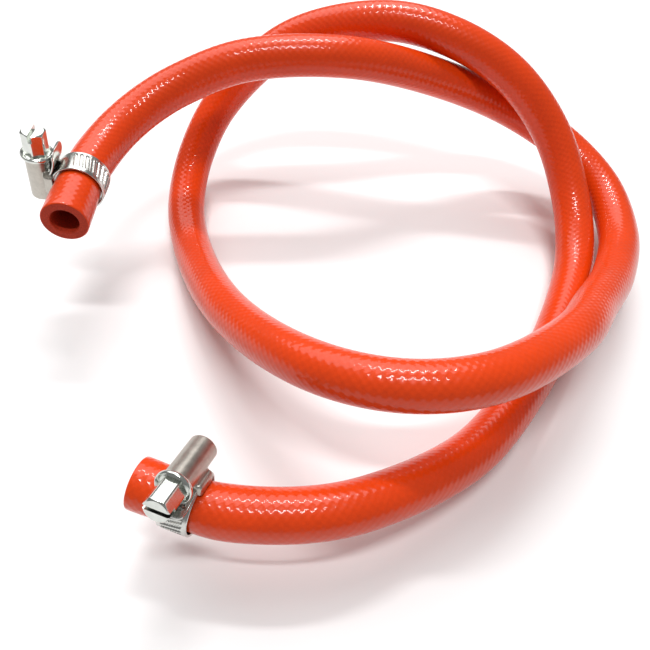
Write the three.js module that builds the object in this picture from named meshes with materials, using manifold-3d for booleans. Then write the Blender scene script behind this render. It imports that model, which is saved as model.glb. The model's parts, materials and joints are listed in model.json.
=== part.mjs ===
// Gas hose lying in a loose open loop, with a worm-drive clip on each end.
// Millimetres, +Z up, standing on the plane z = 0.

import * as THREE from 'three';
import * as BufferGeometryUtils from 'three/addons/utils/BufferGeometryUtils.js';
import Module from 'manifold-3d';

// Hose
const hoseOuterDiameter = 15;
const hoseBore = 9;
const outerSides = 12;
const boreSides = 10;
const hoseSteps = 78;

// Clip band
const bandThickness = 0.7;
const bandWidth = 9;
const bandGap = 0.36;
const bandStartAngle = -20;
const bandLeaveAngle = 25;
const tailLength = 8;
const tailCurl = 2.2;

// Clip screw
const wormDiameter = 6.2;
const wormGap = 0.35;
const wormRecess = 0.6;
const wormBevel = 0.9;
const hexAcrossFlats = 7;
const hexLength = 8;
const flangeDiameter = 10.4;
const flangeThickness = 1.3;
const flangeBevel = 0.5;
const dishDepth = 0.6;
const slotWidth = 1.3;
const slotDepth = 2.4;
const screwSides = 24;

// Clip housing
const housingWall = 0.7;
const housingLength = 15;
const saddleLength = 7;
const saddleWall = 0.8;
const saddleDrop = 1.8;
const legOverlap = 0.25;
const housingSides = 20;

// Clips along the hose, from its two ends
const clipAFromEnd = 21;
const clipARoll = 8;
const clipBFromEnd = 14.5;
const clipBRoll = 21;

// Route of the hose's centre line, from end A (raised) to end B (on the floor)
const route = [
  [-96.7, -9.6, 49.2],
  [-96.7, 2.9, 49],
  [-96.3, 15.4, 49],
  [-93.8, 28.4, 49.5],
  [-88.8, 39.4, 51.5],
  [-80.3, 49.4, 55],
  [-68.3, 56.9, 59.5],
  [-45.3, 62.9, 66.5],
  [-8.8, 67.4, 67.5],
  [30.2, 79.9, 54.5],
  [68.7, 85.9, 37.5],
  [93.2, 74.9, 27.5],
  [105.7, 55.4, 21.5],
  [106.2, 28.9, 18.5],
  [95.2, 2.9, 21.5],
  [79.7, -18.6, 28.5],
  [64.7, -38.1, 36],
  [32.7, -61.6, 45],
  [8.2, -65.6, 45.5],
  [-15.8, -57.1, 41],
  [-45.3, -22.6, 23],
  [-65.8, 23.9, 7.9],
  [-71.3, 47.9, 10],
  [-68.8, 68.9, 20],
  [-57.8, 84.9, 36],
  [-29.3, 94.4, 59.5],
  [7.7, 91.9, 70.5],
  [34.7, 85.9, 68.5],
  [60.2, 77.9, 58],
  [80.2, 66.4, 40],
  [90.2, 47.4, 21.5],
  [89.7, 23.4, 10.5],
  [74.2, -13.6, 7.5],
  [55.2, -42.6, 9.5],
  [32.2, -68.6, 13],
  [0.7, -87.6, 20.5],
  [-18.3, -92.6, 22.5],
  [-41.3, -92.1, 22.5],
  [-52.8, -88.6, 22.7],
  [-64.3, -84.8, 23.3],
];

const steel = new THREE.MeshStandardMaterial({ color: 0xc9cac6, roughness: 0.28, metalness: 1 });
const plating = new THREE.MeshStandardMaterial({ color: 0xd6d8d4, roughness: 0.2, metalness: 1 });
const rubber = new THREE.MeshStandardMaterial({ color: 0xe63a0c, roughness: 0.3, metalness: 0 });

const hoseRadius = hoseOuterDiameter / 2;
const bandInner = hoseRadius + bandGap;
const innerLayer = bandInner + bandThickness / 2;
const outerLayer = innerLayer + bandThickness + bandGap;
const bandTop = outerLayer + bandThickness / 2;
const screwHeight = bandTop + wormGap + wormDiameter / 2;

const wasm = await Module();
wasm.setup();

// A closed geometry as a manifold solid, with its shared corners merged.
function toSolid(geometry) {
  const bare = geometry.clone();
  bare.deleteAttribute('normal');
  bare.deleteAttribute('uv');
  const merged = BufferGeometryUtils.mergeVertices(bare, 1e-4);
  return new wasm.Manifold(new wasm.Mesh({
    numProp: 3,
    vertProperties: new Float32Array(merged.attributes.position.array),
    triVerts: new Uint32Array(merged.index.array),
  }));
}

function toGeometry(solid) {
  const mesh = solid.getMesh();
  const geometry = new THREE.BufferGeometry();
  geometry.setAttribute('position', new THREE.BufferAttribute(new Float32Array(mesh.vertProperties), 3));
  geometry.setIndex(new THREE.BufferAttribute(new Uint32Array(mesh.triVerts), 1));
  geometry.computeVertexNormals();
  return geometry;
}

function polygon(radius, sides, turn = 0) {
  const points = [];
  for (let i = 0; i < sides; i += 1) {
    const angle = turn + (2 * Math.PI * i) / sides;
    points.push(new THREE.Vector2(radius * Math.cos(angle), radius * Math.sin(angle)));
  }
  return points;
}

// Plain extrusion of a shape, centred on z = 0.
function slab(shape, depth) {
  const geometry = new THREE.ExtrudeGeometry(shape, { depth, bevelEnabled: false });
  return geometry.translate(0, 0, -depth / 2);
}

const centreLine = new THREE.CatmullRomCurve3(
  route.map((point) => new THREE.Vector3(...point)), false, 'centripetal');

function hoseGeometry() {
  const section = new THREE.Shape(polygon(hoseRadius, outerSides));
  section.holes.push(new THREE.Path(polygon(hoseBore / 2, boreSides)));
  return new THREE.ExtrudeGeometry(section, {
    steps: hoseSteps, bevelEnabled: false, extrudePath: centreLine,
  });
}

// The clip's own frame: x along the screw towards its head, y out from the hose to the
// housing, z along the hose. The band's middle line is a turn of two layers with a free tail.
function bandLine() {
  const line = [];
  const step = 7.5;
  const rampStart = 285;
  const rampEnd = 332;
  const end = 360 + bandLeaveAngle;
  for (let angle = bandStartAngle; angle <= end + 0.01; angle += step) {
    const share = THREE.MathUtils.smoothstep(angle, rampStart, rampEnd);
    const radius = innerLayer + (outerLayer - innerLayer) * share;
    const turn = THREE.MathUtils.degToRad(angle);
    line.push(new THREE.Vector2(radius * Math.sin(turn), radius * Math.cos(turn)));
  }
  const last = line[line.length - 1];
  const leave = THREE.MathUtils.degToRad(end);
  const tangent = new THREE.Vector2(Math.cos(leave), -Math.sin(leave));
  const outward = new THREE.Vector2(Math.sin(leave), Math.cos(leave));
  for (const share of [0.25, 0.5, 0.75, 1]) {
    line.push(last.clone()
      .addScaledVector(tangent, tailLength * share)
      .addScaledVector(outward, tailCurl * share ** 3));
  }
  return line;
}

function bandGeometry() {
  const line = bandLine();
  const half = bandThickness / 2;
  const outside = [];
  const inside = [];
  line.forEach((point, index) => {
    const before = line[Math.max(index - 1, 0)];
    const after = line[Math.min(index + 1, line.length - 1)];
    const along = after.clone().sub(before).normalize();
    const normal = new THREE.Vector2(-along.y, along.x);
    outside.push(point.clone().addScaledVector(normal, half));
    inside.push(point.clone().addScaledVector(normal, -half));
  });
  return slab(new THREE.Shape([...inside, ...outside.reverse()]), bandWidth);
}

// Section of the housing's tube around the worm, open towards the band.
function tubeSection() {
  const inner = wormDiameter / 2 + wormGap;
  const outer = inner + housingWall;
  const open = Math.acos((screwHeight - bandTop - bandGap) / outer);
  const shape = [];
  const count = housingSides;
  for (let i = 0; i <= count; i += 1) {
    const angle = -Math.PI / 2 + open + ((2 * Math.PI - 2 * open) * i) / count;
    shape.push(new THREE.Vector2(outer * Math.cos(angle), screwHeight + outer * Math.sin(angle)));
  }
  for (let i = count; i >= 0; i -= 1) {
    const angle = -Math.PI / 2 + open + ((2 * Math.PI - 2 * open) * i) / count;
    shape.push(new THREE.Vector2(inner * Math.cos(angle), screwHeight + inner * Math.sin(angle)));
  }
  return new THREE.Shape(shape);
}

// Section of one saddle leg: a shelf over the band's edge and a leg beside it.
function legSection(side) {
  const inner = wormDiameter / 2 + wormGap;
  const reach = bandWidth / 2 + bandGap;
  const shelf = bandTop + bandGap;
  const rise = Math.sqrt(inner ** 2 - (screwHeight - shelf - saddleWall) ** 2) + legOverlap;
  const points = [
    [rise, shelf], [reach, shelf], [reach, shelf - saddleDrop],
    [reach + saddleWall, shelf - saddleDrop], [reach + saddleWall, shelf + saddleWall],
    [rise, shelf + saddleWall],
  ];
  const ring = points.map(([across, up]) => new THREE.Vector2(side * across, up));
  return new THREE.Shape(side > 0 ? ring : ring.reverse());
}

// Turns a section drawn across the hose (x across, y out) to run along the screw.
function alongScrew(geometry) {
  return geometry.rotateY(-Math.PI / 2);
}

function housingGeometry() {
  let solid = toSolid(alongScrew(slab(tubeSection(), housingLength)));
  for (const side of [-1, 1]) {
    solid = solid.add(toSolid(alongScrew(slab(legSection(side), saddleLength))));
  }
  return toGeometry(solid);
}

// The screw: worm body, dished flange and slotted hexagon head, turned about the x axis.
function screwGeometry() {
  const face = housingLength / 2 + bandGap;
  const nose = wormRecess - housingLength / 2;
  const body = new THREE.LatheGeometry([
    new THREE.Vector2(0, nose),
    new THREE.Vector2(wormDiameter / 2 - wormBevel, nose),
    new THREE.Vector2(wormDiameter / 2, nose + wormBevel),
    new THREE.Vector2(wormDiameter / 2, face),
    new THREE.Vector2(flangeDiameter / 2 - flangeBevel, face),
    new THREE.Vector2(flangeDiameter / 2, face + flangeBevel),
    new THREE.Vector2(flangeDiameter / 2, face + flangeThickness),
    new THREE.Vector2(flangeDiameter / 2 - flangeBevel, face + flangeThickness),
    new THREE.Vector2(hexAcrossFlats / 2, face + flangeThickness - dishDepth),
    new THREE.Vector2(0, face + flangeThickness - dishDepth),
  ], screwSides);
  const corner = hexAcrossFlats / Math.sqrt(3);
  const headTop = face + flangeThickness + hexLength;
  const shankLength = hexLength + flangeThickness;
  const prism = slab(new THREE.Shape(polygon(corner, 6)), shankLength);
  prism.rotateX(-Math.PI / 2).translate(0, headTop - shankLength / 2, 0);
  const rounding = new THREE.LatheGeometry([
    new THREE.Vector2(0, 0),
    new THREE.Vector2(hexAcrossFlats, 0),
    new THREE.Vector2(hexAcrossFlats, headTop - hexAcrossFlats / 2),
    new THREE.Vector2(hexAcrossFlats / 2, headTop),
    new THREE.Vector2(0, headTop),
  ], screwSides);
  const slot = new THREE.BoxGeometry(slotWidth, 2 * slotDepth, 2 * hexAcrossFlats);
  slot.translate(0, headTop, 0);
  const head = toSolid(prism).intersect(toSolid(rounding)).subtract(toSolid(slot));
  const geometry = toGeometry(toSolid(body).add(head));
  return geometry.rotateZ(-Math.PI / 2).translate(0, screwHeight, 0);
}

const shapes = { band: bandGeometry(), housing: housingGeometry(), screw: screwGeometry() };

// One clip as a turned group. The outward direction is square to the hose there.
function clip(letter, share, alongHose, outwardHint) {
  const group = new THREE.Group();
  const along = alongHose.clone().normalize();
  const outward = outwardHint.clone().addScaledVector(along, -outwardHint.dot(along)).normalize();
  const screwWay = new THREE.Vector3().crossVectors(outward, along);
  const basis = new THREE.Matrix4().makeBasis(screwWay, outward, along);
  group.quaternion.setFromRotationMatrix(basis);
  group.position.copy(centreLine.getPointAt(share));
  const materials = { band: steel, housing: steel, screw: plating };
  for (const [name, geometry] of Object.entries(shapes)) {
    const mesh = new THREE.Mesh(geometry, materials[name].clone());
    mesh.name = `${name}_${letter}`;
    group.add(mesh);
  }
  return group;
}

const model = new THREE.Group();
const hose = new THREE.Mesh(hoseGeometry(), rubber);
hose.name = 'hose';
model.add(hose);

const length = centreLine.getLength();
const shareA = clipAFromEnd / length;
const shareB = 1 - clipBFromEnd / length;
const outOfEndA = centreLine.getTangentAt(shareA).negate();
const outOfEndB = centreLine.getTangentAt(shareB);
const leanA = THREE.MathUtils.degToRad(clipARoll);
const outwardA = new THREE.Vector3(-Math.cos(leanA), 0, Math.sin(leanA));
model.add(clip('a', shareA, outOfEndA, outwardA));

const level = new THREE.Vector3(0, 0, 1).cross(outOfEndB).negate().normalize();
const lean = THREE.MathUtils.degToRad(clipBRoll);
const outwardB = new THREE.Vector3(0, 0, Math.cos(lean)).addScaledVector(level, Math.sin(lean));
model.add(clip('b', shareB, outOfEndB, outwardB));

export default model;
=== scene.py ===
"""Gas hose lying in a loose loop, with a worm-drive clip on each end: surfaces, finishes and stage.

Everything is in metres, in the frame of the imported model.
"""

import json
import math

import bpy
import numpy as np
from mathutils import Matrix, Vector


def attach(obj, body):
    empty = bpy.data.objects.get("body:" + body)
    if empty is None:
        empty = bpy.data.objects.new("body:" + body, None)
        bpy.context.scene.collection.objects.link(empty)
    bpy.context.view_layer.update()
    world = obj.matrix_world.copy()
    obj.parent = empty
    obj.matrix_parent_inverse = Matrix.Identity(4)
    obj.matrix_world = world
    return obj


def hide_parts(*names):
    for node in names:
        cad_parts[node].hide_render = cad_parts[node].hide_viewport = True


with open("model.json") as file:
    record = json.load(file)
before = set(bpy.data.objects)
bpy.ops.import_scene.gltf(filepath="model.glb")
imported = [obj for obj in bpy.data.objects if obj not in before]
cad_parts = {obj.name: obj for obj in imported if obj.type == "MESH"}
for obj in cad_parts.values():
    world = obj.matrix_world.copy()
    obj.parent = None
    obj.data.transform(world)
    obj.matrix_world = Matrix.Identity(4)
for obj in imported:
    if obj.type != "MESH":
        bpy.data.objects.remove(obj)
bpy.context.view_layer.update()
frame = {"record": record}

bl_info = {
    "name": "Gas hose with clips",
    "version": (1, 0, 0),
    "blender": (4, 5, 0),
    "location": "3D View > Sidebar > Hose",
    "description": "Makes a glossy gas hose with two worm-drive clips, and its stage",
    "category": "Object",
}

MM = 0.001

# Distance from one ring of the hose's mesh to the next
RING_STEP = 1.2 * MM

# Places of the hose's centre line, from the raised end A to the lower end B
ROUTE = [
    (-0.0967, -0.0096, 0.0492),
    (-0.0967, 0.0029, 0.049),
    (-0.0963, 0.0154, 0.049),
    (-0.0938, 0.0284, 0.0495),
    (-0.0888, 0.0394, 0.0515),
    (-0.0803, 0.0494, 0.055),
    (-0.0683, 0.0569, 0.0595),
    (-0.0453, 0.0629, 0.0665),
    (-0.0088, 0.0674, 0.0675),
    (0.0302, 0.0799, 0.0545),
    (0.0687, 0.0859, 0.0375),
    (0.0932, 0.0749, 0.0275),
    (0.1057, 0.0554, 0.0215),
    (0.1062, 0.0289, 0.0185),
    (0.0952, 0.0029, 0.0215),
    (0.0797, -0.0186, 0.0285),
    (0.0647, -0.0381, 0.036),
    (0.0327, -0.0616, 0.045),
    (0.0082, -0.0656, 0.0455),
    (-0.0158, -0.0571, 0.041),
    (-0.0453, -0.0226, 0.023),
    (-0.0658, 0.0239, 0.0079),
    (-0.0713, 0.0479, 0.01),
    (-0.0688, 0.0689, 0.02),
    (-0.0578, 0.0849, 0.036),
    (-0.0293, 0.0944, 0.0595),
    (0.0077, 0.0919, 0.0705),
    (0.0347, 0.0859, 0.0685),
    (0.0602, 0.0779, 0.058),
    (0.0802, 0.0664, 0.04),
    (0.0902, 0.0474, 0.0215),
    (0.0897, 0.0234, 0.0105),
    (0.0742, -0.0136, 0.0075),
    (0.0552, -0.0426, 0.0095),
    (0.0322, -0.0686, 0.013),
    (0.0007, -0.0876, 0.0205),
    (-0.0183, -0.0926, 0.0225),
    (-0.0413, -0.0921, 0.0225),
    (-0.0528, -0.0886, 0.0227),
    (-0.0643, -0.0848, 0.0233),
]

# Distance of each clip from its own end of the hose, and the body and joint that it has
CLIPS = {
    "a": (0.021, "clip_screw_a", "screw_a_turn"),
    "b": (0.0145, "clip_screw_b", "screw_b_turn"),
}

# The camera's place and turns, and its lens for a 36 mm sensor
CAMERA_PLACE = (-0.02070, -0.15861, 0.18431)
CAMERA_HEADING = math.radians(-3.367)
CAMERA_TILT = math.radians(39.28)
CAMERA_ROLL = math.radians(4.403)
CAMERA_LENS = 34.34


class HoseSizes(bpy.types.PropertyGroup):
    """Sizes and colours of the hose."""

    outer_diameter: bpy.props.FloatProperty(
        name="Outer diameter", description="Across the hose's glossy cover",
        default=15 * MM, unit="LENGTH")
    bore: bpy.props.FloatProperty(
        name="Bore", description="Across the hole through the hose",
        default=9 * MM, unit="LENGTH")
    edge_radius: bpy.props.FloatProperty(
        name="Edge radius", description="Rounding of the cut ends' edges",
        default=0.45 * MM, unit="LENGTH")
    ripple_depth: bpy.props.FloatProperty(
        name="Ripple depth", description="How deep the braid under the cover shows through",
        default=0.036 * MM, unit="LENGTH")
    ripple_pitch: bpy.props.FloatProperty(
        name="Ripple pitch", description="Distance along the hose from one ripple to the next",
        default=2.5 * MM, unit="LENGTH")
    ripples_around: bpy.props.IntProperty(
        name="Ripples around", description="How many ripples lie around the hose",
        default=16)
    squeeze: bpy.props.FloatProperty(
        name="Squeeze", description="How far each clip draws the cover in",
        default=0.25 * MM, unit="LENGTH")
    squeeze_reach: bpy.props.FloatProperty(
        name="Squeeze reach", description="How far along the hose a clip's squeeze is felt",
        default=9 * MM, unit="LENGTH")
    cover_colour: bpy.props.FloatVectorProperty(
        name="Cover colour", description="Colour of the glossy cover",
        default=(0.7, 0.05, 0.003), subtype="COLOR")
    core_colour: bpy.props.FloatVectorProperty(
        name="Core colour", description="Colour of the cut wall and the bore",
        default=(0.42, 0.035, 0.012), subtype="COLOR")


class ClipSizes(bpy.types.PropertyGroup):
    """Sizes and colours of one worm-drive clip."""

    band_thickness: bpy.props.FloatProperty(
        name="Band thickness", description="Thickness of the steel band",
        default=0.7 * MM, unit="LENGTH")
    band_width: bpy.props.FloatProperty(
        name="Band width", description="Width of the steel band along the hose",
        default=9 * MM, unit="LENGTH")
    band_gap: bpy.props.FloatProperty(
        name="Band gap", description="Gap between the hose, the band's layers and the housing",
        default=0.36 * MM, unit="LENGTH")
    tail_length: bpy.props.FloatProperty(
        name="Tail length", description="Length of the band's free tail",
        default=8 * MM, unit="LENGTH")
    tail_curl: bpy.props.FloatProperty(
        name="Tail curl", description="How far the tail's tip curls outwards",
        default=2.2 * MM, unit="LENGTH")
    slot_pitch: bpy.props.FloatProperty(
        name="Slot pitch", description="Distance between the band's pressed slots",
        default=1.75 * MM, unit="LENGTH")
    worm_diameter: bpy.props.FloatProperty(
        name="Worm diameter", description="Across the crests of the screw's worm",
        default=6.2 * MM, unit="LENGTH")
    worm_gap: bpy.props.FloatProperty(
        name="Worm gap", description="Gap around the worm",
        default=0.35 * MM, unit="LENGTH")
    housing_length: bpy.props.FloatProperty(
        name="Housing length", description="Length of the housing along the screw",
        default=15 * MM, unit="LENGTH")
    housing_wall: bpy.props.FloatProperty(
        name="Housing wall", description="Thickness of the housing's pressed sheet",
        default=0.7 * MM, unit="LENGTH")
    saddle_length: bpy.props.FloatProperty(
        name="Saddle length", description="Length of the housing's two wings",
        default=7 * MM, unit="LENGTH")
    saddle_drop: bpy.props.FloatProperty(
        name="Saddle drop", description="How far the wings reach down beside the band",
        default=1.8 * MM, unit="LENGTH")
    hex_across_flats: bpy.props.FloatProperty(
        name="Hexagon", description="Across the flats of the screw's head",
        default=7 * MM, unit="LENGTH")
    hex_length: bpy.props.FloatProperty(
        name="Head length", description="Length of the screw's head past its flange",
        default=8 * MM, unit="LENGTH")
    flange_diameter: bpy.props.FloatProperty(
        name="Flange diameter", description="Across the screw's dished flange",
        default=10.4 * MM, unit="LENGTH")
    flange_thickness: bpy.props.FloatProperty(
        name="Flange thickness", description="Thickness of the flange at its rim",
        default=1.3 * MM, unit="LENGTH")
    slot_width: bpy.props.FloatProperty(
        name="Slot width", description="Width of the screwdriver slot",
        default=1.3 * MM, unit="LENGTH")
    slot_depth: bpy.props.FloatProperty(
        name="Slot depth", description="Depth of the screwdriver slot",
        default=2.4 * MM, unit="LENGTH")
    band_colour: bpy.props.FloatVectorProperty(
        name="Band colour", description="Colour of the bright band",
        default=(0.62, 0.62, 0.59), subtype="COLOR")
    housing_colour: bpy.props.FloatVectorProperty(
        name="Housing colour", description="Colour of the satin pressed housing",
        default=(0.5, 0.47, 0.42), subtype="COLOR")
    screw_colour: bpy.props.FloatVectorProperty(
        name="Screw colour", description="Colour of the screw's plating",
        default=(0.68, 0.7, 0.66), subtype="COLOR")


class StageLook(bpy.types.PropertyGroup):
    """Floor and light."""

    floor_colour: bpy.props.FloatVectorProperty(
        name="Floor colour", description="Colour of the pale floor",
        default=(0.9, 0.9, 0.9), subtype="COLOR")
    key_power: bpy.props.FloatProperty(
        name="Key light", description="Power of the wide soft panel in watts",
        default=18.0)
    strip_power: bpy.props.FloatProperty(
        name="Strip light", description="Power of each thin overhead strip light in watts",
        default=4.2)
    sky_strength: bpy.props.FloatProperty(
        name="Ambient light", description="Strength of the even light all round",
        default=0.25)


# Curves and frames

def smooth_step(value, low, high):
    """Rises from 0 at low to 1 at high as 3t^2 - 2t^3, where t is the share of the way."""
    share = np.clip((value - low) / (high - low), 0, 1)
    return share * share * (3 - 2 * share)


def route_curve(places, samples=200):
    """Smooth curve through the places: each span is a cubic whose end slopes come from its
    neighbours, weighted by the square roots of the gaps between the places."""
    places = np.asarray(places, dtype=float)
    ends = np.vstack([2 * places[0] - places[1], places, 2 * places[-1] - places[-2]])
    before, start, stop, after = ends[:-3], ends[1:-2], ends[2:-1], ends[3:]
    gap_in = np.linalg.norm(start - before, axis=1)[:, None] ** 0.5
    gap = np.linalg.norm(stop - start, axis=1)[:, None] ** 0.5
    gap_out = np.linalg.norm(after - stop, axis=1)[:, None] ** 0.5
    across_in = (stop - before) / (gap_in + gap)
    across_out = (after - start) / (gap + gap_out)
    slope_in = ((start - before) / gap_in - across_in + (stop - start) / gap) * gap
    slope_out = ((stop - start) / gap - across_out + (after - stop) / gap_out) * gap
    share = np.arange(samples)[None, :, None] / samples
    square = 2 * start - 2 * stop + slope_in + slope_out
    points = (start[:, None]
              + slope_in[:, None] * share
              + (3 * stop - 3 * start - 2 * slope_in - slope_out)[:, None] * share ** 2
              + square[:, None] * share ** 3)
    return np.vstack([points.reshape(-1, 3), places[-1:]])


def lengths_along(points):
    """Distance from the first point to each point, summed along the line."""
    steps = np.linalg.norm(np.diff(points, axis=0), axis=1)
    return np.concatenate([[0], np.cumsum(steps)])


def unit(vectors):
    """Each vector divided by its own length."""
    return vectors / np.linalg.norm(vectors, axis=-1, keepdims=True)


class Path:
    """The hose's centre line by distance along it, with a level side and a rising direction
    square to it at each place."""

    def __init__(self, places):
        self.points = route_curve(places)
        self.distance = lengths_along(self.points)
        self.length = self.distance[-1]
        self.slope = unit(np.gradient(self.points, self.distance, axis=0))

    def at(self, along):
        """Place, tangent, side and rise at each distance: the side is up times the tangent,
        and the rise is the tangent times the side."""
        place = np.stack([np.interp(along, self.distance, self.points[:, k]) for k in range(3)], axis=-1)
        tangent = unit(np.stack(
            [np.interp(along, self.distance, self.slope[:, k]) for k in range(3)], axis=-1))
        side = unit(np.cross([0.0, 0.0, 1.0], tangent))
        return place, tangent, side, np.cross(tangent, side)


def clip_frame(letter, path):
    """Origin and axes of a clip: x along the screw towards its head, y out of the hose to the
    screw, z along the hose out of its end."""
    from_end, _, joint_name = CLIPS[letter]
    joint = next(j for j in frame["record"]["behaviour"]["joints"] if j["name"] == joint_name)
    screw_place = np.array(joint["pos_m"])
    screw_way = unit(np.array(joint["axis"], dtype=float))
    along = from_end if letter == "a" else path.length - from_end
    centre = path.at(np.array([along]))[0][0]
    outward = screw_place - centre
    outward = unit(outward - outward.dot(screw_way) * screw_way)
    origin = screw_place - screw_height() * outward
    return origin, np.stack([screw_way, outward, np.cross(screw_way, outward)])


def screw_height():
    """Height of the screw's axis over the hose's centre line: the hose, the gaps, two layers
    of band and half the worm."""
    clip = bpy.context.scene.hose_clip
    hose = bpy.context.scene.hose_tube
    layers = 2 * (clip.band_gap + clip.band_thickness)
    return hose.outer_diameter / 2 + layers + clip.worm_gap + clip.worm_diameter / 2


# Meshes

def grid_faces(rows, columns, loop_rows, loop_columns):
    """Faces of a grid of points, each joined to the next row and the next column."""
    row = np.arange(rows if loop_rows else rows - 1)[:, None]
    column = np.arange(columns if loop_columns else columns - 1)[None, :]
    next_row = (row + 1) % rows
    next_column = (column + 1) % columns
    corners = [row * columns + column, row * columns + next_column,
               next_row * columns + next_column, next_row * columns + column]
    return np.stack(np.broadcast_arrays(*corners), axis=-1).reshape(-1, 4)


def new_piece(name, points, faces, caps=()):
    """Mesh object from points and four-cornered faces. A cap closes an end with one face."""
    mesh = bpy.data.meshes.new(name)
    polygons = faces.tolist() + [list(cap) for cap in caps]
    mesh.from_pydata(points.reshape(-1, 3).tolist(), [], polygons)
    mesh.polygons.foreach_set("use_smooth", np.ones(len(mesh.polygons), dtype=bool))
    mesh.validate()
    mesh.update()
    piece = bpy.data.objects.new(name, mesh)
    bpy.context.scene.collection.objects.link(piece)
    return piece


def map_around(piece, faces, uv):
    """UV layer from each point's distance along in millimetres and share of a turn. In the faces that close
    the turn, the share goes on past 1 and doesn't fall back to 0."""
    corners = uv.reshape(-1, 2)[faces]
    share = corners[..., 1]
    closing = np.ptp(share, axis=1, keepdims=True) > 0.5
    corners[..., 1] = share + (closing & (share < 0.5))
    layer = piece.data.uv_layers.new(name="along_around")
    layer.data.foreach_set("uv", corners.astype(np.float32).ravel())


def hose_profile(sizes, length, step):
    """Closed section of the hose's wall as distance along, radius, and which part it is: the
    cover from end A to end B, a round edge, the cut face, a round edge, and the bore back."""
    outer, inner, edge = sizes.outer_diameter / 2, sizes.bore / 2, sizes.edge_radius
    turn = np.linspace(0, math.pi / 2, 6)[1:-1]
    cover = np.linspace(edge, length - edge, int(length / step))
    bore = np.linspace(length - edge, edge, int(length / (12 * step)))
    face = np.linspace(outer - edge, inner + edge, 6)
    far_out = np.stack([length - edge + edge * np.sin(turn), outer - edge + edge * np.cos(turn)], axis=1)
    far_face = np.stack([np.full(len(face), length), face], axis=1)
    far_in = np.stack([length - edge + edge * np.cos(turn), inner + edge - edge * np.sin(turn)], axis=1)
    near_in = np.stack([edge - edge * np.sin(turn), inner + edge - edge * np.cos(turn)], axis=1)
    near_face = np.stack([np.zeros(len(face)), face[::-1]], axis=1)
    near_out = np.stack([edge - edge * np.cos(turn), outer - edge + edge * np.sin(turn)], axis=1)
    parts = [
        np.stack([cover, np.full(len(cover), outer)], axis=1), far_out, far_face, far_in,
        np.stack([bore, np.full(len(bore), inner)], axis=1), near_in, near_face, near_out,
    ]
    return np.vstack(parts)


def hose_surface(sizes, path, sides=64, step=RING_STEP):
    """Skin, cut ends and bore as one closed surface: the wall's section carried along the
    path and round it. The cover narrows a little under each clip, by a flat-topped bell curve
    whose width is the squeeze reach."""
    profile = hose_profile(sizes, path.length, step)
    along, radius = profile[:, 0], profile[:, 1]
    place, _, side, rise = path.at(along)
    angle = np.linspace(0, 2 * math.pi, sides, endpoint=False)[None, :]
    on_cover = smooth_step(radius, sizes.outer_diameter / 2 - 0.6 * MM, sizes.outer_diameter / 2)
    from_clip = np.minimum(abs(along - CLIPS["a"][0]), abs(path.length - along - CLIPS["b"][0]))
    squeeze = sizes.squeeze * np.exp(-(from_clip / sizes.squeeze_reach) ** 4)
    reach = np.broadcast_to((radius - squeeze * on_cover)[:, None], (len(along), sides))
    points = (place[:, None] + reach[..., None]
              * (np.cos(angle)[..., None] * side[:, None] + np.sin(angle)[..., None] * rise[:, None]))
    share = np.broadcast_to(angle / (2 * math.pi), reach.shape)
    uv = np.stack([np.broadcast_to(along[:, None] / MM, reach.shape), share], axis=-1)
    faces = grid_faces(len(along), sides, loop_rows=True, loop_columns=True)
    return points, faces, uv


def band_line(clip, hose_radius, step):
    """Middle line of the band in the clip's x and y: a turn that climbs from the inner layer
    to the outer one, and then a straight tail whose tip curls outwards by a cube."""
    inner = hose_radius + clip.band_gap + clip.band_thickness / 2
    outer = inner + clip.band_thickness + clip.band_gap
    turn = np.radians(np.linspace(-20, 385, 1620))
    radius = inner + (outer - inner) * smooth_step(turn, math.radians(285), math.radians(332))
    around = np.stack([radius * np.sin(turn), radius * np.cos(turn)], axis=1)
    tangent = np.array([math.cos(turn[-1]), -math.sin(turn[-1])])
    outward = np.array([math.sin(turn[-1]), math.cos(turn[-1])])
    share = np.linspace(0, 1, 80)[1:, None]
    tail = around[-1] + tangent * clip.tail_length * share + outward * clip.tail_curl * share ** 3
    line = np.vstack([around, tail])
    distance = lengths_along(line)
    even = np.linspace(0, distance[-1], int(distance[-1] / step))
    return even, np.stack([np.interp(even, distance, line[:, k]) for k in range(2)], axis=1)


def band_section(clip):
    """Section across the band as distance across and height, anticlockwise: the outer face
    from one edge to the other, a round edge, the inner face and a round edge."""
    edge = clip.band_thickness * 0.42
    flat_across = clip.band_width / 2 - edge
    half = clip.band_thickness / 2
    turn = np.linspace(0, math.pi, 9)[1:-1]
    outer = np.stack([np.linspace(-flat_across, flat_across, 44), np.full(44, half)], axis=1)
    right = np.stack([flat_across + edge * np.sin(turn), half * np.cos(turn)], axis=1)
    inner = np.stack([np.linspace(flat_across, -flat_across, 8), np.full(8, -half)], axis=1)
    left = np.stack([-flat_across - edge * np.sin(turn), -half * np.cos(turn)], axis=1)
    return np.vstack([outer, right, inner, left])


def slot_dip(clip, along, across, first, last):
    """Depth of the pressed slots: slanted round-ended boxes in a row, deep inside and with a
    slight raised lip, from their distance to the nearest slot's outline."""
    slant = math.tan(math.radians(11))
    shifted = along - across * slant
    nearest = (shifted - first) % clip.slot_pitch - clip.slot_pitch / 2
    half_long, half_wide, round_end = 2.75 * MM, 0.12 * MM, 0.3 * MM
    run_out = 0.2 * MM
    past = np.hypot(np.maximum(abs(across) - half_long, 0), np.maximum(abs(nearest) - half_wide, 0))
    outline = past - round_end
    depth = 0.34 * MM * (1 - smooth_step(outline, -0.12 * MM, 0.14 * MM))
    lip = 0.07 * MM * np.exp(-((outline - 0.16 * MM) / (0.1 * MM)) ** 2)
    started = smooth_step(shifted, first, first + run_out)
    ended = smooth_step(shifted, last - run_out, last)
    inside = started * (1 - ended)
    return (depth - lip) * inside


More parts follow.
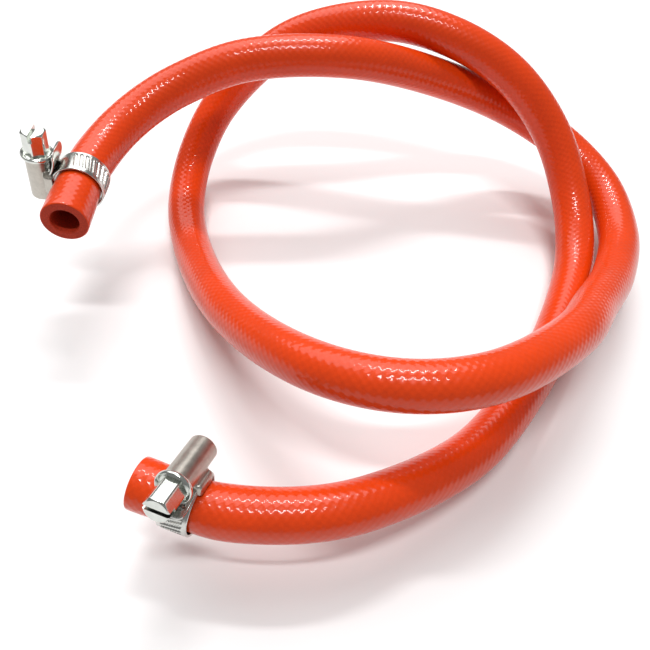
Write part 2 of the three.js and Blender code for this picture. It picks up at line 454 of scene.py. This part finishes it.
def band_surface(clip, hose_radius, step=0.14 * MM):
    """The band as its section carried along its line: the section's width shrinks to a round
    corner at the tail's tip, and the slots press its outer face in."""
    along, line = band_line(clip, hose_radius, step)
    section = band_section(clip)
    tangent = unit(np.gradient(line, along, axis=0))
    normal = np.stack([-tangent[:, 1], tangent[:, 0]], axis=1)
    corner = 1.6 * MM
    past = np.clip((along - along[-1] + corner) / corner, 0, 1)
    narrow = clip.band_width / 2 - corner + corner * np.sqrt(1 - 0.98 * past ** 2)
    across = section[None, :, 0] * (narrow / (clip.band_width / 2))[:, None]
    height = np.broadcast_to(section[None, :, 1], across.shape)
    on_top = (section[:, 1] > 0.499 * clip.band_thickness)[None, :]
    first = 14 * MM
    last = along[-1] - 1.4 * MM
    dip = slot_dip(clip, along[:, None], across, first, last) * on_top
    height = height - dip
    points = np.stack([
        line[:, None, 0] + normal[:, None, 0] * height,
        line[:, None, 1] + normal[:, None, 1] * height,
        across,
    ], axis=-1)
    rows, columns = across.shape
    faces = grid_faces(rows, columns, loop_rows=False, loop_columns=True)
    caps = [range(columns - 1, -1, -1), range((rows - 1) * columns, rows * columns)]
    return points, faces, caps


def housing_sheet(clip, hose_radius):
    """Middle sheet of the housing: round the worm it is an arc. Past 25 degrees below its
    widest place the sheet either keeps curling under the worm or, between the saddle's ends,
    turns out level over the band and folds down beside it. The heading of each step is mixed
    from the two, and the steps are summed. The curled part is a share of the folded length."""
    radius = clip.worm_diameter / 2 + clip.worm_gap + clip.housing_wall / 2
    height = screw_height()
    band_top = hose_radius + 2 * (clip.band_gap + clip.band_thickness)
    past = math.radians(25)
    x = np.linspace(-clip.housing_length / 2, clip.housing_length / 2, 76)[:, None]
    wing = 1 - smooth_step(abs(x), clip.saddle_length / 2 - 0.5 * MM, clip.saddle_length / 2 + 0.45 * MM)
    arc = np.linspace(0, math.pi / 2 + past, 40)
    fillet = (height - radius * math.sin(past) - band_top - clip.band_gap - clip.housing_wall / 2)
    fillet = fillet / (1 + math.cos(math.pi / 2 - past))
    fold = 0.9 * MM
    curl_share = 0.28
    out = clip.band_width / 2 + clip.band_gap + clip.housing_wall / 2
    level = out - fold - radius * math.cos(past) - fillet * math.sin(math.pi / 2 + past)
    lengths = [fillet * (math.pi / 2 + past), max(level, 0.05 * MM), fold * math.pi / 2, clip.saddle_drop]
    marks = np.concatenate([[0], np.cumsum(lengths)])
    total = marks[-1]
    share = np.linspace(0, 1, 44)
    distance = share[None, :] * (curl_share * total + (1 - curl_share) * total * wing)
    heading_marks = [-(math.pi / 2 + past), 0, 0, -math.pi / 2, -math.pi / 2]
    outward_heading = np.interp(share * total, marks, heading_marks)[None, :]
    inward_heading = -(math.pi / 2 + past) - distance / radius
    heading = wing * outward_heading + (1 - wing) * inward_heading
    steps = np.diff(distance, axis=1)
    middle = (heading[:, 1:] + heading[:, :-1]) / 2
    leg_across = radius * math.cos(past) + np.cumsum(steps * np.cos(middle), axis=1)
    leg_height = -radius * math.sin(past) + np.cumsum(steps * np.sin(middle), axis=1)
    arc_across = np.broadcast_to(radius * np.sin(arc), (len(x), len(arc)))
    arc_height = np.broadcast_to(radius * np.cos(arc), (len(x), len(arc)))
    half_across = np.concatenate([arc_across, leg_across], axis=1)
    half_height = np.concatenate([arc_height, leg_height], axis=1)
    across = np.concatenate([-half_across[:, :0:-1], half_across], axis=1)
    rise = np.concatenate([half_height[:, :0:-1], half_height], axis=1)
    points = np.stack([np.broadcast_to(x, across.shape), height + rise, across], axis=-1)
    return points, grid_faces(*across.shape, loop_rows=False, loop_columns=False)


def screw_profile(clip):
    """Rows of the screw from the worm's tip to the head's face, as place along the screw,
    radius and kind: from 0 for a round row to 1 for a hexagonal one, and 2 on the end face."""
    half = clip.housing_length / 2
    worm = clip.worm_diameter / 2
    face = half + clip.band_gap
    rim = clip.flange_diameter / 2
    back, front = face, face + clip.flange_thickness
    lip = 0.35 * MM
    dish = 0.6 * MM
    flat = clip.hex_across_flats / 2
    top = front + clip.hex_length
    turn = np.linspace(0, math.pi, 9)
    rows = [(-half + 0.6 * MM, r, 0) for r in (0.02 * MM, 0.8 * MM, 1.7 * MM, 2.2 * MM)]
    rows += [(x, worm, 0) for x in np.arange(-half + 1.5 * MM, face - 0.3 * MM, 0.16 * MM)]
    rows += [(back, r, 0) for r in np.linspace(worm, rim - lip, 6)]
    rows += [((back + front) / 2 - (front - back) / 2 * math.cos(t), rim - lip + lip * math.sin(t), 0)
             for t in turn]
    rows += [(front - dish * s, rim - lip + (flat * 1.18 - rim + lip) * s, 0)
             for s in np.linspace(0.1, 1, 8)]
    rows += [(front - dish + 0.12 * MM, flat * 1.12, 0.6)]
    rows += [(x, flat, 1) for x in np.linspace(front - dish + 0.25 * MM, top - 1.2 * MM, 8)]
    rows += [(x, flat, 1) for x in np.linspace(top - 1.15 * MM, top, 16)]
    rows += [(top, flat * s, 2) for s in (0.85, 0.6, 0.3, 0.01)]
    return np.array(rows)


def screw_surface(clip, sides=144):
    """The screw round its axis: the worm's crests follow a helix, the head is a hexagon with
    slightly round corners, from a smooth minimum of the two outlines, and a cone chamfers the
    head's end."""
    rows = screw_profile(clip)
    along, radius, kind = rows[:, 0:1], rows[:, 1:2], rows[:, 2:3]
    angle = np.linspace(0, 2 * math.pi, sides, endpoint=False)[None, :]
    flat = clip.hex_across_flats / 2
    top = clip.housing_length / 2 + clip.band_gap + clip.flange_thickness + clip.hex_length
    within = (angle + math.pi / 6) % (math.pi / 3) - math.pi / 6
    hexagon = flat / np.cos(within)
    corner = flat * 1.125
    sharpness = 30000.0
    hexagon = -np.log(np.exp(-sharpness * hexagon) + np.exp(-sharpness * corner)) / sharpness
    cone = flat * 0.93 + (top - along) / math.tan(math.radians(32))
    headed = np.minimum(hexagon, cone)
    phase = along / clip.slot_pitch - angle / (2 * math.pi)
    crest = abs((phase % 1) - 0.5) * 2
    back = -clip.housing_length / 2
    thread_starts = smooth_step(along, back + 1.2 * MM, back + 2.2 * MM)
    thread_ends = smooth_step(along, 5.2 * MM, 6.2 * MM)
    on_worm = thread_starts * (1 - thread_ends) * (kind == 0)
    thread = 0.75 * MM * smooth_step(crest, 0.25, 0.75) * on_worm
    tip = np.clip((along - back - 0.6 * MM) / (0.9 * MM), 0, 1)
    allowed = 2.2 * MM + 1.2 * MM * tip + (along > 0) * clip.flange_diameter
    round_radius = np.minimum(radius, allowed) - thread
    mixed = np.where(kind < 1, round_radius * (1 - kind) + np.maximum(headed, round_radius) * kind, headed)
    reach = np.where(kind == 2, headed * radius / flat, mixed)
    points = np.stack([
        np.broadcast_to(along, reach.shape),
        screw_height() + reach * np.cos(angle),
        reach * np.sin(angle),
    ], axis=-1)
    count = len(rows)
    faces = grid_faces(count, sides, loop_rows=False, loop_columns=True)
    caps = [range(sides - 1, -1, -1), range((count - 1) * sides, count * sides)]
    return points, faces, caps


def slot_cutter(clip):
    """A block across the head's face, for the screwdriver slot."""
    top = clip.housing_length / 2 + clip.band_gap + clip.flange_thickness + clip.hex_length
    signs = np.array([(x, y, z) for x in (-1, 1) for y in (-1, 1) for z in (-1, 1)], dtype=float)
    size = np.array([clip.slot_depth, clip.slot_width / 2, clip.hex_across_flats])
    points = signs * size + [top, screw_height(), 0]
    faces = np.array([(0, 1, 3, 2), (4, 6, 7, 5), (0, 4, 5, 1), (2, 3, 7, 6), (0, 2, 6, 4), (1, 5, 7, 3)])
    return points, faces


def place_in_clip(points, letter, path):
    """Turns points from the clip's own x, y and z into the model's frame."""
    origin, axes = clip_frame(letter, path)
    return points.reshape(-1, 3) @ axes + origin


def finish_mesh(piece, sharp_angle=math.radians(32)):
    """Bakes the piece's modifiers into its mesh and keeps its hard edges sharp."""
    view_layer = bpy.context.view_layer
    view_layer.update()
    evaluated = piece.evaluated_get(bpy.context.evaluated_depsgraph_get())
    baked = bpy.data.meshes.new_from_object(evaluated)
    piece.modifiers.clear()
    piece.data = baked
    baked.polygons.foreach_set("use_smooth", np.ones(len(baked.polygons), dtype=bool))
    baked.set_sharp_from_angle(angle=sharp_angle)
    baked.update()


# Materials

def new_material(name):
    """A new node material, with its nodes, its links and its shader."""
    material = bpy.data.materials.new(name)
    material.use_nodes = True
    nodes = material.node_tree.nodes
    shader = next(node for node in nodes if node.type == "BSDF_PRINCIPLED")
    return material, nodes, material.node_tree.links, shader


def math_node(nodes, links, operation, *values):
    """A Math node on one to three inputs, each a socket or a number."""
    node = nodes.new("ShaderNodeMath")
    node.operation = operation
    for index, value in enumerate(values):
        if isinstance(value, (int, float)):
            node.inputs[index].default_value = value
        else:
            links.new(value, node.inputs[index])
    return node.outputs[0]


def noise_node(nodes, links, vector, scale, detail=3.0, roughness=0.5):
    """A Noise Texture on a vector."""
    node = nodes.new("ShaderNodeTexNoise")
    node.inputs["Scale"].default_value = scale
    node.inputs["Detail"].default_value = detail
    node.inputs["Roughness"].default_value = roughness
    links.new(vector, node.inputs["Vector"])
    return node.outputs[0]


def ramp_node(nodes, links, factor, stops):
    """A Color Ramp with a colour at each stop."""
    node = nodes.new("ShaderNodeValToRGB")
    links.new(factor, node.inputs[0])
    elements = node.color_ramp.elements
    for index, (place, colour) in enumerate(stops):
        element = elements[index] if index < 2 else elements.new(place)
        element.position = place
        element.color = (*colour, 1.0)
    return node.outputs[0]


def bump_node(nodes, links, height, distance, strength=1.0, below=None):
    """A Bump node on a height, on top of an earlier one."""
    node = nodes.new("ShaderNodeBump")
    node.inputs["Strength"].default_value = strength
    node.inputs["Distance"].default_value = distance
    links.new(height, node.inputs["Height"])
    if below is not None:
        links.new(below, node.inputs["Normal"])
    return node.outputs[0]


def scaled(colour, factor):
    """A colour made lighter or darker."""
    return tuple(min(1.0, channel * factor) for channel in colour)


def braid_height(nodes, links, sizes):
    """Relief of the braid below the cover: the cosine of the place along the hose times the
    cosine of the place around it."""
    split = nodes.new("ShaderNodeSeparateXYZ")
    links.new(nodes.new("ShaderNodeTexCoord").outputs["UV"], split.inputs[0])
    turns_per_mm = 2 * math.pi * MM / sizes.ripple_pitch
    turns_around = 2 * math.pi * sizes.ripples_around
    along_turn = math_node(nodes, links, "MULTIPLY", split.outputs["X"], turns_per_mm)
    around_turn = math_node(nodes, links, "MULTIPLY", split.outputs["Y"], turns_around)
    along_wave = math_node(nodes, links, "COSINE", along_turn)
    around_wave = math_node(nodes, links, "COSINE", around_turn)
    return math_node(nodes, links, "MULTIPLY", along_wave, around_wave)


def cover_material(sizes):
    """Glossy orange-red cover: a faint mottle of colour, the relief of the braid below and a
    clear skin over it, whose highlights the relief breaks into waves and dots."""
    material, nodes, links, shader = new_material("hose_cover")
    place = nodes.new("ShaderNodeTexCoord").outputs["Object"]
    mottle = noise_node(nodes, links, place, 900.0, 4.0, 0.6)
    cloud = noise_node(nodes, links, place, 60.0, 2.0)
    half_cloud = math_node(nodes, links, "MULTIPLY", cloud, 0.5)
    mixed = math_node(nodes, links, "MULTIPLY_ADD", mottle, 0.5, half_cloud)
    colour = ramp_node(nodes, links, mixed, [
        (0.35, scaled(sizes.cover_colour, 0.92)), (0.65, scaled(sizes.cover_colour, 1.06))])
    links.new(colour, shader.inputs["Base Color"])
    rough = math_node(nodes, links, "MULTIPLY_ADD", mottle, 0.1, 0.28)
    links.new(rough, shader.inputs["Roughness"])
    waves = noise_node(nodes, links, place, 260.0, 1.0)
    uneven = bump_node(nodes, links, waves, 0.1 * MM, 0.4)
    relief = bump_node(nodes, links, braid_height(nodes, links, sizes), sizes.ripple_depth, 1.0, uneven)
    links.new(relief, shader.inputs["Normal"])
    links.new(relief, shader.inputs["Coat Normal"])
    shader.inputs["Specular IOR Level"].default_value = 0.15
    shader.inputs["Coat Weight"].default_value = 0.5
    shader.inputs["Coat Roughness"].default_value = 0.06
    return material


def core_material(sizes):
    """Dull cut wall and bore, darker than the cover, with a fine grain."""
    material, nodes, links, shader = new_material("hose_core")
    place = nodes.new("ShaderNodeTexCoord").outputs["Object"]
    grain = noise_node(nodes, links, place, 2200.0, 4.0)
    colour = ramp_node(nodes, links, grain, [
        (0.3, scaled(sizes.core_colour, 0.7)), (0.7, scaled(sizes.core_colour, 1.2))])
    links.new(colour, shader.inputs["Base Color"])
    shader.inputs["Roughness"].default_value = 0.6
    shader.inputs["Specular IOR Level"].default_value = 0.15
    links.new(bump_node(nodes, links, grain, 0.06 * MM, 0.6), shader.inputs["Normal"])
    return material


def steel_material(name, colour, roughness, spread, grain, bump):
    """Steel: fine grain over coarser patches, which vary its tint, its roughness by the spread
    and the height of its surface."""
    material, nodes, links, shader = new_material(name)
    place = nodes.new("ShaderNodeTexCoord").outputs["Object"]
    fine = noise_node(nodes, links, place, grain, 4.0, 0.65)
    patches = noise_node(nodes, links, place, 420.0, 3.0)
    coarse = math_node(nodes, links, "MULTIPLY", patches, 0.4)
    mixed = math_node(nodes, links, "MULTIPLY_ADD", fine, 0.6, coarse)
    tint = ramp_node(nodes, links, mixed, [(0.3, scaled(colour, 0.82)), (0.7, scaled(colour, 1.08))])
    links.new(tint, shader.inputs["Base Color"])
    rough = math_node(nodes, links, "MULTIPLY_ADD", mixed, spread, roughness - spread / 2)
    links.new(rough, shader.inputs["Roughness"])
    links.new(bump_node(nodes, links, mixed, bump, 0.5), shader.inputs["Normal"])
    shader.inputs["Metallic"].default_value = 1.0
    return material


# Operators

class HOSE_OT_camera(bpy.types.Operator):
    """Set the camera where the photograph was taken from"""

    bl_idname = "hose.set_camera"
    bl_label = "Set the camera"

    def execute(self, context):
        data = bpy.data.cameras.new("camera")
        data.lens = CAMERA_LENS
        data.sensor_width = 36.0
        data.clip_start = 0.01
        camera = bpy.data.objects.new("camera", data)
        context.scene.collection.objects.link(camera)
        turn = (Matrix.Rotation(CAMERA_HEADING, 4, "Z")
                @ Matrix.Rotation(CAMERA_TILT, 4, "X")
                @ Matrix.Rotation(CAMERA_ROLL, 4, "Z"))
        camera.matrix_world = Matrix.Translation(Vector(CAMERA_PLACE)) @ turn
        context.scene.camera = camera
        return {"FINISHED"}


class HOSE_OT_hose(bpy.types.Operator):
    """Make the hose's cover, cut ends and bore"""

    bl_idname = "hose.make_hose"
    bl_label = "Make the hose"

    def execute(self, context):
        sizes = context.scene.hose_tube
        path = Path(ROUTE)
        points, faces, uv = hose_surface(sizes, path)
        piece = new_piece("hose_surface", points, faces)
        map_around(piece, faces, uv)
        piece.data.materials.append(cover_material(sizes))
        piece.data.materials.append(core_material(sizes))
        rows = len(points)
        radius = hose_profile(sizes, path.length, RING_STEP)[:, 1]
        core = radius < sizes.outer_diameter / 2 - 0.6 * sizes.edge_radius
        per_row = len(faces) // rows
        index = np.repeat((core & np.roll(core, -1)).astype(np.int32), per_row)
        piece.data.polygons.foreach_set("material_index", index)
        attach(piece, "hose_and_clips")
        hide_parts("hose")
        return {"FINISHED"}


class HOSE_OT_bands(bpy.types.Operator):
    """Make the two clip bands with their pressed slots and free tails"""

    bl_idname = "hose.make_bands"
    bl_label = "Make the bands"

    def execute(self, context):
        clip = context.scene.hose_clip
        path = Path(ROUTE)
        steel = steel_material("band_steel", clip.band_colour, 0.22, 0.16, 500.0, 0.03 * MM)
        points, faces, caps = band_surface(clip, context.scene.hose_tube.outer_diameter / 2)
        for letter in CLIPS:
            piece = new_piece(f"band_{letter}_strip", place_in_clip(points, letter, path), faces, caps)
            finish_mesh(piece)
            piece.data.materials.append(steel)
            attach(piece, "hose_and_clips")
            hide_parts(f"band_{letter}")
        return {"FINISHED"}


class HOSE_OT_housings(bpy.types.Operator):
    """Make the two pressed housings with their saddle wings"""

    bl_idname = "hose.make_housings"
    bl_label = "Make the housings"

    def execute(self, context):
        clip = context.scene.hose_clip
        path = Path(ROUTE)
        steel = steel_material("housing_steel", clip.housing_colour, 0.34, 0.2, 700.0, 0.04 * MM)
        points, faces = housing_sheet(clip, context.scene.hose_tube.outer_diameter / 2)
        for letter in CLIPS:
            piece = new_piece(f"housing_{letter}_shell", place_in_clip(points, letter, path), faces)
            wall = piece.modifiers.new("wall", "SOLIDIFY")
            wall.thickness = clip.housing_wall
            wall.offset = 0.0
            edges = piece.modifiers.new("edges", "BEVEL")
            edges.width = 0.16 * MM
            edges.segments = 2
            edges.limit_method = "ANGLE"
            edges.angle_limit = math.radians(50)
            finish_mesh(piece)
            piece.data.materials.append(steel)
            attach(piece, "hose_and_clips")
            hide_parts(f"housing_{letter}")
        return {"FINISHED"}


class HOSE_OT_screws(bpy.types.Operator):
    """Make the two clip screws with worm, dished flange and slotted hexagon head"""

    bl_idname = "hose.make_screws"
    bl_label = "Make the screws"

    def execute(self, context):
        clip = context.scene.hose_clip
        path = Path(ROUTE)
        plating = steel_material("screw_plating", clip.screw_colour, 0.17, 0.12, 300.0, 0.03 * MM)
        points, faces, caps = screw_surface(clip)
        cut_points, cut_faces = slot_cutter(clip)
        for letter, (_, body, _) in CLIPS.items():
            piece = new_piece(f"screw_{letter}_head", place_in_clip(points, letter, path), faces, caps)
            cutter = new_piece("slot_cutter", place_in_clip(cut_points, letter, path), cut_faces)
            cut = piece.modifiers.new("slot", "BOOLEAN")
            cut.operation = "DIFFERENCE"
            cut.solver = "EXACT"
            cut.object = cutter
            finish_mesh(piece)
            bpy.data.objects.remove(cutter)
            piece.data.materials.append(plating)
            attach(piece, body)
            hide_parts(f"screw_{letter}")
        return {"FINISHED"}


class HOSE_OT_stage(bpy.types.Operator):
    """Make the pale floor, the soft panel and the two thin strip lights"""

    bl_idname = "hose.make_stage"
    bl_label = "Make the stage"

    def execute(self, context):
        look = context.scene.hose_stage
        reach = 3.0
        corners = np.array([(-reach, -reach, 0), (reach, -reach, 0), (reach, reach, 0), (-reach, reach, 0)])
        floor = new_piece("floor", corners, np.array([(0, 1, 2, 3)]))
        material, _, _, shader = new_material("floor")
        shader.inputs["Base Color"].default_value = (*look.floor_colour, 1.0)
        shader.inputs["Roughness"].default_value = 0.85
        floor.data.materials.append(material)
        world = bpy.data.worlds.new("studio")
        world.use_nodes = True
        background = world.node_tree.nodes["Background"]
        background.inputs["Color"].default_value = (1.0, 1.0, 1.0, 1.0)
        background.inputs["Strength"].default_value = look.sky_strength
        context.scene.world = world
        lights = {
            "strip_back": ((0.0, 0.5, 1.0), (0.42, 0.06), look.strip_power),
            "strip_front": ((0.0, -0.19, 1.0), (0.42, 0.06), look.strip_power),
            "panel": ((-0.3, 0.9, 1.3), (1.8, 1.4), look.key_power),
        }
        for name, (place, size, power) in lights.items():
            light = bpy.data.lights.new(name, "AREA")
            light.shape = "RECTANGLE"
            light.size, light.size_y = size
            light.energy = power
            lamp = bpy.data.objects.new(name, light)
            lamp.location = place
            lamp.rotation_euler = (-Vector(place)).to_track_quat("-Z", "Y").to_euler()
            context.scene.collection.objects.link(lamp)
        context.scene.view_settings.view_transform = "Standard"
        return {"FINISHED"}


class HOSE_PT_panel(bpy.types.Panel):
    """Buttons and sizes of the hose"""

    bl_idname = "HOSE_PT_panel"
    bl_label = "Gas hose"
    bl_space_type = "VIEW_3D"
    bl_region_type = "UI"
    bl_category = "Hose"

    def draw(self, context):
        for operator in OPERATORS:
            self.layout.operator(operator.bl_idname)
        for group in (context.scene.hose_tube, context.scene.hose_clip, context.scene.hose_stage):
            box = self.layout.box()
            for name in group.__annotations__:
                box.prop(group, name)


OPERATORS = (HOSE_OT_camera, HOSE_OT_hose, HOSE_OT_bands, HOSE_OT_housings, HOSE_OT_screws, HOSE_OT_stage)
CLASSES = (HoseSizes, ClipSizes, StageLook, *OPERATORS, HOSE_PT_panel)


def register():
    for item in CLASSES:
        bpy.utils.register_class(item)
    bpy.types.Scene.hose_tube = bpy.props.PointerProperty(type=HoseSizes)
    bpy.types.Scene.hose_clip = bpy.props.PointerProperty(type=ClipSizes)
    bpy.types.Scene.hose_stage = bpy.props.PointerProperty(type=StageLook)


def unregister():
    del bpy.types.Scene.hose_stage
    del bpy.types.Scene.hose_clip
    del bpy.types.Scene.hose_tube
    for item in reversed(CLASSES):
        bpy.utils.unregister_class(item)


def main():
    register()
    bpy.ops.hose.set_camera()
    bpy.ops.hose.make_hose()
    bpy.ops.hose.make_bands()
    bpy.ops.hose.make_housings()
    bpy.ops.hose.make_screws()
    bpy.ops.hose.make_stage()


if __name__ == "__main__":
    main()
